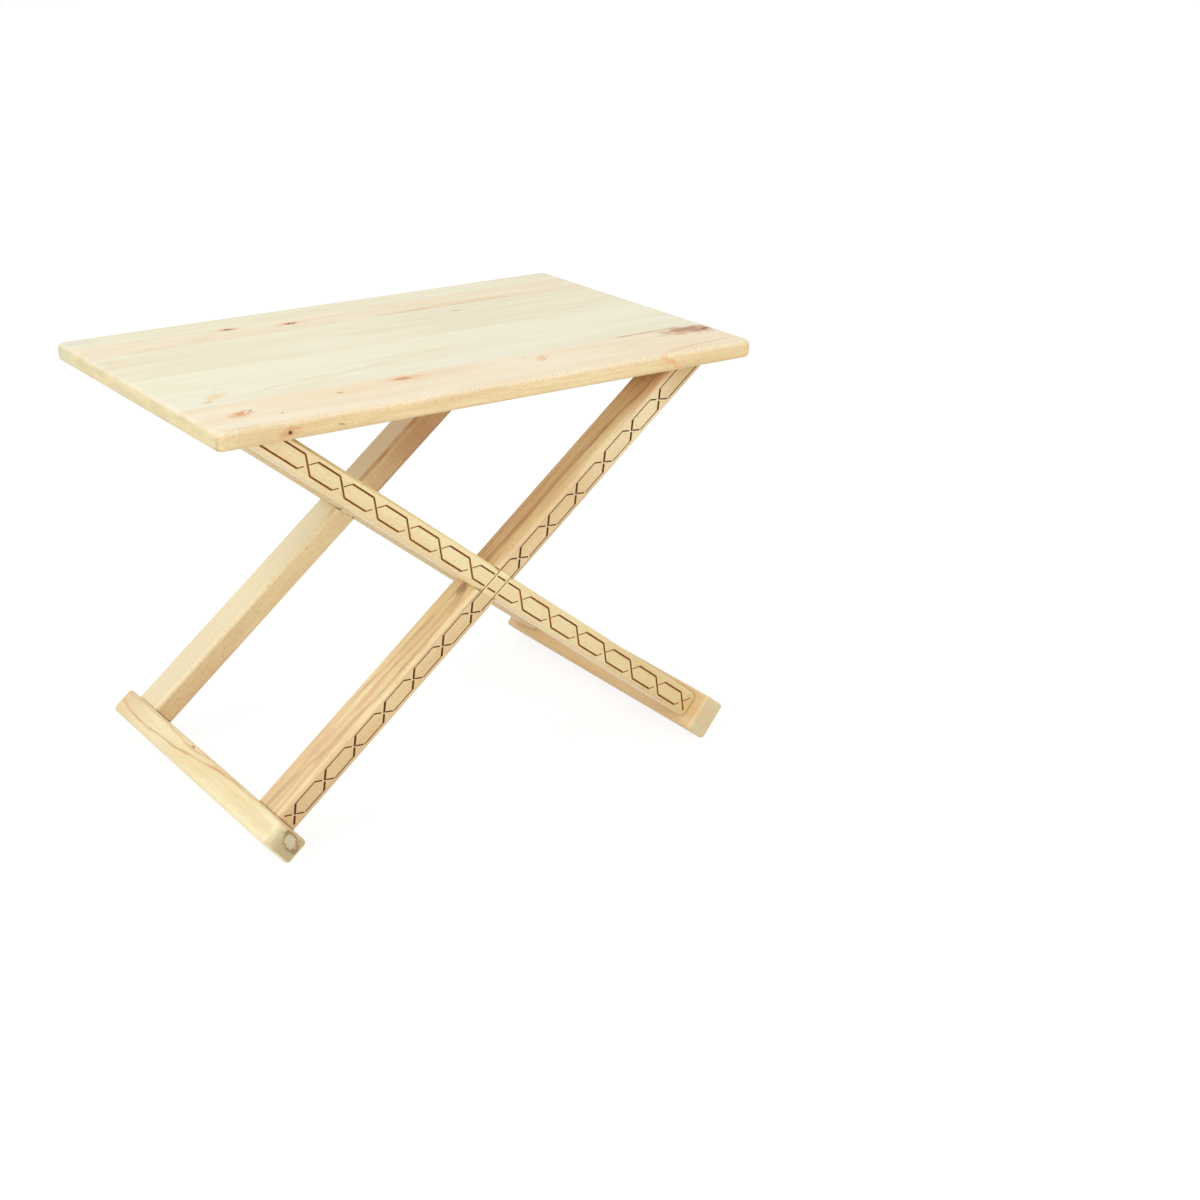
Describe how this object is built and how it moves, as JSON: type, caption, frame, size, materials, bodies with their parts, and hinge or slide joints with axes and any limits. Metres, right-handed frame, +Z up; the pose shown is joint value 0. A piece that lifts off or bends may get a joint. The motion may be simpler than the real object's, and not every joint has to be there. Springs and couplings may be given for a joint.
{
  "type": "x-frame stool",
  "caption": "Wooden stool: a glued-up seat board that lifts off crossed leg frames, which meet in flush halving joints and carry an engraved hexagon chain on their front legs.",
  "frame": {"origin": "on the floor, under the middle of the seat board", "axes": "+X along the seat to its right end as seen from the front, +Y from the front with the engraved legs to the back, +Z up"},
  "size_m": [0.6, 0.4, 0.448],
  "materials": {
    "seat_wood": "matt clear finish",
    "leg_wood": "matt clear finish",
    "rail_wood": "matt clear finish",
    "dowel_wood": "raw",
    "screw_steel": "zinc plated"
  },
  "bodies": {
    "right_frame": {"right_frame_front_leg": "leg_wood", "right_frame_rear_leg": "leg_wood", "right_frame_foot_rail": "rail_wood", "right_frame_top_rail": "rail_wood", "right_frame_foot_dowels": "dowel_wood", "right_frame_top_dowels": "dowel_wood", "right_frame_seat_pegs": "dowel_wood"},
    "left_frame": {"left_frame_front_leg": "leg_wood", "left_frame_rear_leg": "leg_wood", "left_frame_foot_rail": "rail_wood", "left_frame_top_rail": "rail_wood", "left_frame_foot_dowels": "dowel_wood", "left_frame_top_dowels": "dowel_wood"},
    "seat": {"seat_plank_1": "seat_wood", "seat_plank_2": "seat_wood", "seat_plank_3": "seat_wood", "seat_plank_4": "seat_wood", "seat_plank_5": "seat_wood", "seat_plank_6": "seat_wood", "left_batten": "rail_wood", "right_batten": "rail_wood", "batten_screws": "screw_steel"}
  },
  "joints": [
    {"name": "seat_lift", "type": "slide", "parent": "right_frame", "child": "seat", "axis": [0, 0, 1], "range_m": [0, 0.06]},
    {"name": "left_frame_slide", "type": "slide", "parent": "right_frame", "child": "left_frame", "axis": [0, -1, 0], "range_m": [0, 0.046]}
  ]
}
